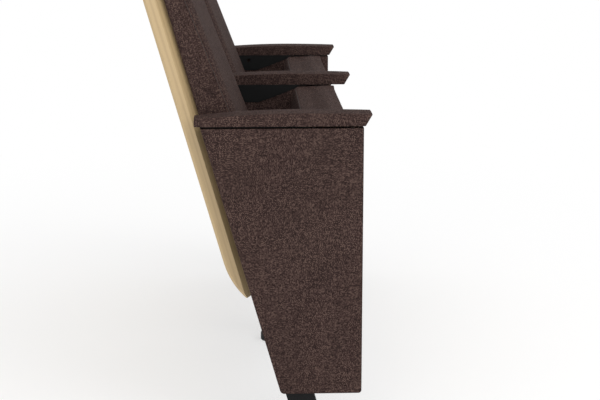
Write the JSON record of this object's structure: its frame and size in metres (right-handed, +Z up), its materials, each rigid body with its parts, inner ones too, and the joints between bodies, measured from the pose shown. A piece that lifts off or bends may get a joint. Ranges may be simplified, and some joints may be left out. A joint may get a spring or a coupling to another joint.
{
  "type": "tip-up auditorium seat",
  "caption": "Row unit of tip-up auditorium seats: padded backs on wood shells, self-returning seats, padded arms on upholstered side panels, steel standards on floor feet.",
  "frame": {"origin": "centre of the overall box at floor level, under the middle standard", "axes": "+X along the row, to the right as seen from in front; the sitters face -Y; +Z is up. Left and right are as seen from in front"},
  "size_m": [1.204, 0.4564, 0.96],
  "materials": {
    "fabric": "dark brown melange upholstery weave",
    "oak_finish": "clear satin lacquer on light oak",
    "plywood": "raw birch plywood",
    "black_steel": "satin black powder coat",
    "cast_feet": "satin black powder coat on a casting",
    "axle_steel": "ground steel",
    "spring_steel": "oiled spring steel",
    "fastener_steel": "satin zinc plate",
    "rubber_stops": "matte rubber",
    "black_plastic": "matte moulded plastic",
    "nylon": "natural nylon"
  },
  "bodies": {
    "stand": {"foot_left": "cast_feet", "column_left": "black_steel", "hinge_plate_left": "black_steel", "pivot_axle_left": "axle_steel", "stop_buffers_left": "rubber_stops", "arm_bracket_left": "black_steel", "arm_core_left": "plywood", "arm_pad_left": "fabric", "foot_middle": "cast_feet", "column_middle": "black_steel", "hinge_plate_middle": "black_steel", "pivot_axle_middle": "axle_steel", "stop_buffers_middle": "rubber_stops", "arm_bracket_middle": "black_steel", "arm_core_middle": "plywood", "arm_pad_middle": "fabric", "foot_right": "cast_feet", "column_right": "black_steel", "hinge_plate_right": "black_steel", "pivot_axle_right": "axle_steel", "stop_buffers_right": "rubber_stops", "arm_bracket_right": "black_steel", "arm_core_right": "plywood", "arm_pad_right": "fabric", "spring_cup_left": "black_plastic", "return_spring_left": "spring_steel", "end_panel_left": "fabric", "inner_panel_left": "fabric", "middle_panel_left": "fabric", "back_panel_left": "oak_finish", "back_board_left": "plywood", "back_cushion_left": "fabric", "low_brackets_left": "black_steel", "back_screws_left": "fastener_steel", "bracket_bolts_left": "fastener_steel", "spring_cup_right": "black_plastic", "return_spring_right": "spring_steel", "end_panel_right": "fabric", "inner_panel_right": "fabric", "middle_panel_right": "fabric", "back_panel_right": "oak_finish", "back_board_right": "plywood", "back_cushion_right": "fabric", "low_brackets_right": "black_steel", "back_screws_right": "fastener_steel", "bracket_bolts_right": "fastener_steel"},
    "seat_left": {"seat_cushion_left": "fabric", "seat_board_left": "oak_finish", "seat_pan_left": "black_steel", "seat_bushes_left": "nylon"},
    "seat_right": {"seat_cushion_right": "fabric", "seat_board_right": "oak_finish", "seat_pan_right": "black_steel", "seat_bushes_right": "nylon"}
  },
  "joints": [
    {"name": "seat_tip_left", "type": "hinge", "parent": "stand", "child": "seat_left", "pos_m": [-0.285, -0.17273, 0.345], "axis": [1, 0, 0], "range_deg": [0, 84], "stiffness_Nm_per_rad": 3, "springref_deg": -57.3},
    {"name": "seat_tip_right", "type": "hinge", "parent": "stand", "child": "seat_right", "pos_m": [0.285, -0.17273, 0.345], "axis": [1, 0, 0], "range_deg": [0, 84], "stiffness_Nm_per_rad": 3, "springref_deg": -57.3}
  ]
}
